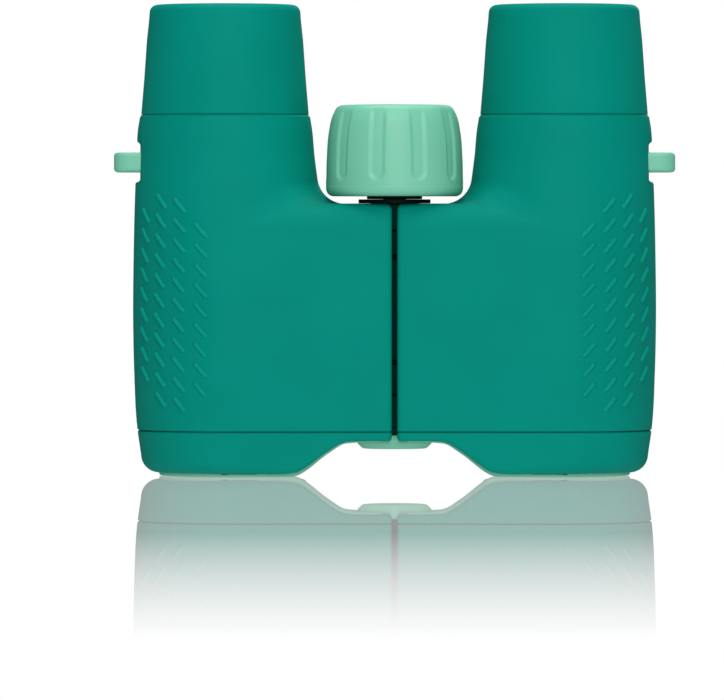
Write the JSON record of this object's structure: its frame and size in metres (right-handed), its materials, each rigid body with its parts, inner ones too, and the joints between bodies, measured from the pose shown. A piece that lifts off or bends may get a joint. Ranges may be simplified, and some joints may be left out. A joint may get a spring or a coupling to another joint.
{
  "type": "binoculars",
  "caption": "Compact roof-prism binoculars for a child, with rubber-armoured barrels on a central folding hinge and a fluted focus wheel.",
  "frame": {"origin": "middle of the base, where the binoculars stand on their objective covers, midway between the barrels", "axes": "+Z from the objectives to the eyepieces, +X to the right barrel as the user looks through, -Y to the top side of the casing that carries the grip pattern"},
  "size_m": [0.1078, 0.0388, 0.0904],
  "materials": {
    "teal_rubber": "satin moulded rubber with a very fine texture",
    "mint_plastic": "satin moulded plastic, pale green",
    "black_plastic": "matt black, blackened against stray light",
    "coated_glass": "polished, with a thin anti-reflection coating",
    "steel": "turned steel",
    "brass": "turned brass, lightly greased"
  },
  "bodies": {
    "left_half": {"left_chassis": "black_plastic", "left_front_cover": "mint_plastic", "left_strap_lug": "mint_plastic", "left_main_armour": "teal_rubber", "left_front_armour": "teal_rubber", "left_eyecup": "teal_rubber", "left_eye_lens": "coated_glass", "left_field_lens": "coated_glass", "left_objective_crown": "coated_glass", "left_objective_flint": "coated_glass", "left_half_penta_prism": "coated_glass", "left_roof_prism": "coated_glass", "left_eyepiece_cell": "black_plastic", "left_eyepiece_sleeve": "black_plastic", "left_field_stop": "black_plastic", "left_lens_spacer": "black_plastic", "left_objective_cell": "black_plastic", "left_objective_lock_ring": "black_plastic", "left_prism_holder": "black_plastic", "left_prism_plate": "steel", "hinge_pin": "steel", "hinge_end_cap": "mint_plastic", "hinge_tube": "black_plastic", "hinge_washer_lower": "black_plastic", "hinge_washer_upper": "black_plastic"},
    "right_half": {"right_chassis": "black_plastic", "right_front_cover": "mint_plastic", "right_strap_lug": "mint_plastic", "right_main_armour": "teal_rubber", "right_front_armour": "teal_rubber", "right_objective_crown": "coated_glass", "right_objective_flint": "coated_glass", "right_half_penta_prism": "coated_glass", "right_roof_prism": "coated_glass", "right_objective_cell": "black_plastic", "right_objective_lock_ring": "black_plastic", "right_prism_holder": "black_plastic", "right_prism_plate": "steel"},
    "left_focus": {"left_focus_arm": "black_plastic", "left_focusing_cell": "black_plastic", "left_focusing_lens": "coated_glass"},
    "right_focus": {"right_focus_arm": "black_plastic", "right_focusing_cell": "black_plastic", "right_focusing_lens": "coated_glass"},
    "focus_wheel": {"focus_wheel": "mint_plastic", "wheel_collar": "black_plastic", "wheel_cap": "mint_plastic", "wheel_screw": "steel", "focus_spindle": "brass"},
    "focus_spool": {"focus_spool": "brass"},
    "dioptre_eyecup": {"right_eyecup": "teal_rubber", "right_eyepiece_sleeve": "black_plastic"},
    "dioptre_cell": {"right_eyepiece_cell": "black_plastic", "right_field_lens": "coated_glass", "right_lens_spacer": "black_plastic", "right_eye_lens": "coated_glass", "right_field_stop": "black_plastic"}
  },
  "joints": [
    {"name": "interpupillary_fold", "type": "hinge", "parent": "left_half", "child": "right_half", "pos_m": [0, -0.005, 0.03], "axis": [0, 0, 1], "range_deg": [0, 60]},
    {"name": "focus_wheel_turn", "type": "hinge", "parent": "left_half", "child": "focus_wheel", "pos_m": [0, -0.005, 0.0622], "axis": [0, 0, 1], "range_deg": [-225, 225]},
    {"name": "focus_spool_slide", "type": "slide", "parent": "left_half", "child": "focus_spool", "axis": [0, 0, 1], "range_m": [-0.0016, 0.0016]},
    {"name": "left_focus_slide", "type": "slide", "parent": "left_half", "child": "left_focus", "axis": [0, 0, 1], "range_m": [-0.0016, 0.0016]},
    {"name": "right_focus_slide", "type": "slide", "parent": "right_half", "child": "right_focus", "axis": [0, 0, 1], "range_m": [-0.0016, 0.0016]},
    {"name": "dioptre_turn", "type": "hinge", "parent": "right_half", "child": "dioptre_eyecup", "pos_m": [0.0326, 0, 0.08], "axis": [0, 0, 1], "range_deg": [-45, 45]},
    {"name": "dioptre_lens_slide", "type": "slide", "parent": "right_half", "child": "dioptre_cell", "axis": [0, 0, 1], "range_m": [-0.0008, 0.0008]}
  ],
  "couplings": [
    {"joint": "focus_spool_slide", "follows": "focus_wheel_turn", "m_per_rad": 0.00038197},
    {"joint": "left_focus_slide", "follows": "focus_wheel_turn", "m_per_rad": 0.00038197},
    {"joint": "right_focus_slide", "follows": "focus_wheel_turn", "m_per_rad": 0.00038197},
    {"joint": "dioptre_lens_slide", "follows": "dioptre_turn", "m_per_rad": 0.001}
  ]
}
